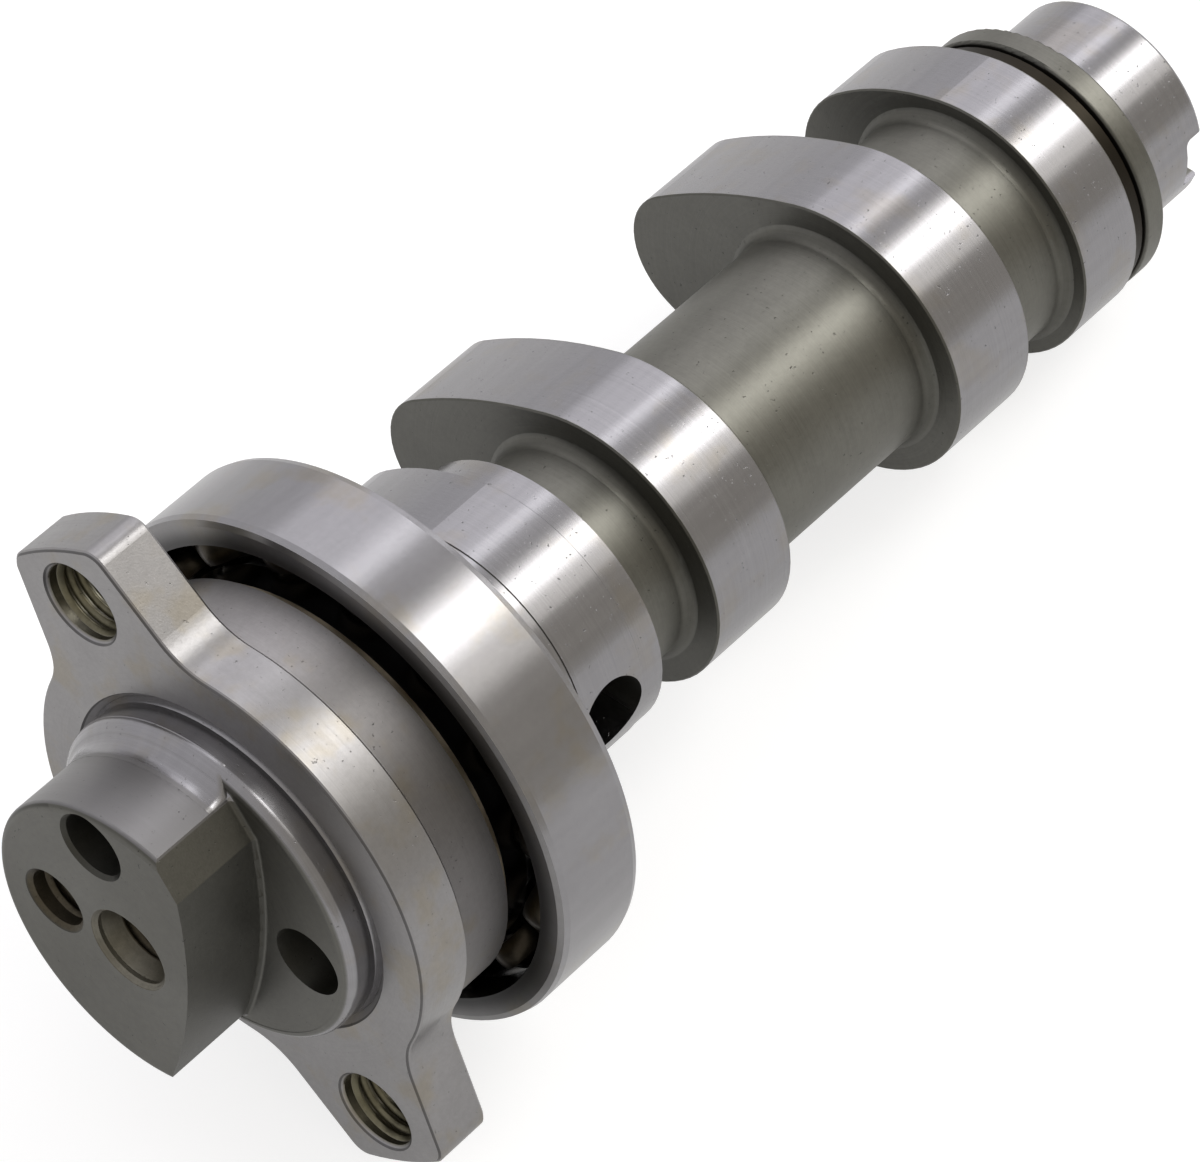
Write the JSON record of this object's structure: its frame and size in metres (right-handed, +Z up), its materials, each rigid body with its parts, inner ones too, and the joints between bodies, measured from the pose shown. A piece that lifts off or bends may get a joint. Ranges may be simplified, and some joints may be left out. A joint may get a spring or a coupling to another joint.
{
  "type": "camshaft",
  "caption": "Engine camshaft with narrow and wide lobes, an eared sprocket flange, a D-shaped nose and a ball bearing whose outer ring turns on it.",
  "frame": {"origin": "centre of the sprocket flange's front face, on the shaft axis", "axes": "+X along the shaft from the sprocket end towards the lobes; +Z up as the shaft lies in the picture; +Y to the left when looking from the sprocket end"},
  "size_m": [0.1392, 0.055, 0.0571],
  "materials": {
    "shaft_steel": "satin",
    "flange_steel": "matte",
    "ring_steel": "satin",
    "ball_steel": "polished",
    "cage_steel": "satin"
  },
  "bodies": {
    "shaft": {"camshaft": "shaft_steel", "sprocket_flange": "flange_steel", "bearing_inner_ring": "ring_steel"},
    "outer_ring": {"bearing_outer_ring": "ring_steel"},
    "cage": {"bearing_cage_near": "cage_steel", "bearing_cage_far": "cage_steel", "bearing_cage_rivets": "cage_steel", "bearing_ball_01": "ball_steel", "bearing_ball_02": "ball_steel", "bearing_ball_03": "ball_steel", "bearing_ball_04": "ball_steel", "bearing_ball_05": "ball_steel", "bearing_ball_06": "ball_steel", "bearing_ball_07": "ball_steel", "bearing_ball_08": "ball_steel", "bearing_ball_09": "ball_steel", "bearing_ball_10": "ball_steel", "bearing_ball_11": "ball_steel", "bearing_ball_12": "ball_steel", "bearing_ball_13": "ball_steel", "bearing_ball_14": "ball_steel", "bearing_ball_15": "ball_steel"}
  },
  "joints": [
    {"name": "outer_ring_turn", "type": "hinge", "parent": "shaft", "child": "outer_ring", "pos_m": [0.0182, 0, 0], "axis": [1, 0, 0], "continuous": true},
    {"name": "cage_turn", "type": "hinge", "parent": "shaft", "child": "cage", "pos_m": [0.0182, 0, 0], "axis": [1, 0, 0], "continuous": true}
  ],
  "couplings": [
    {"joint": "cage_turn", "follows": "outer_ring_turn", "ratio": 0.5617}
  ]
}
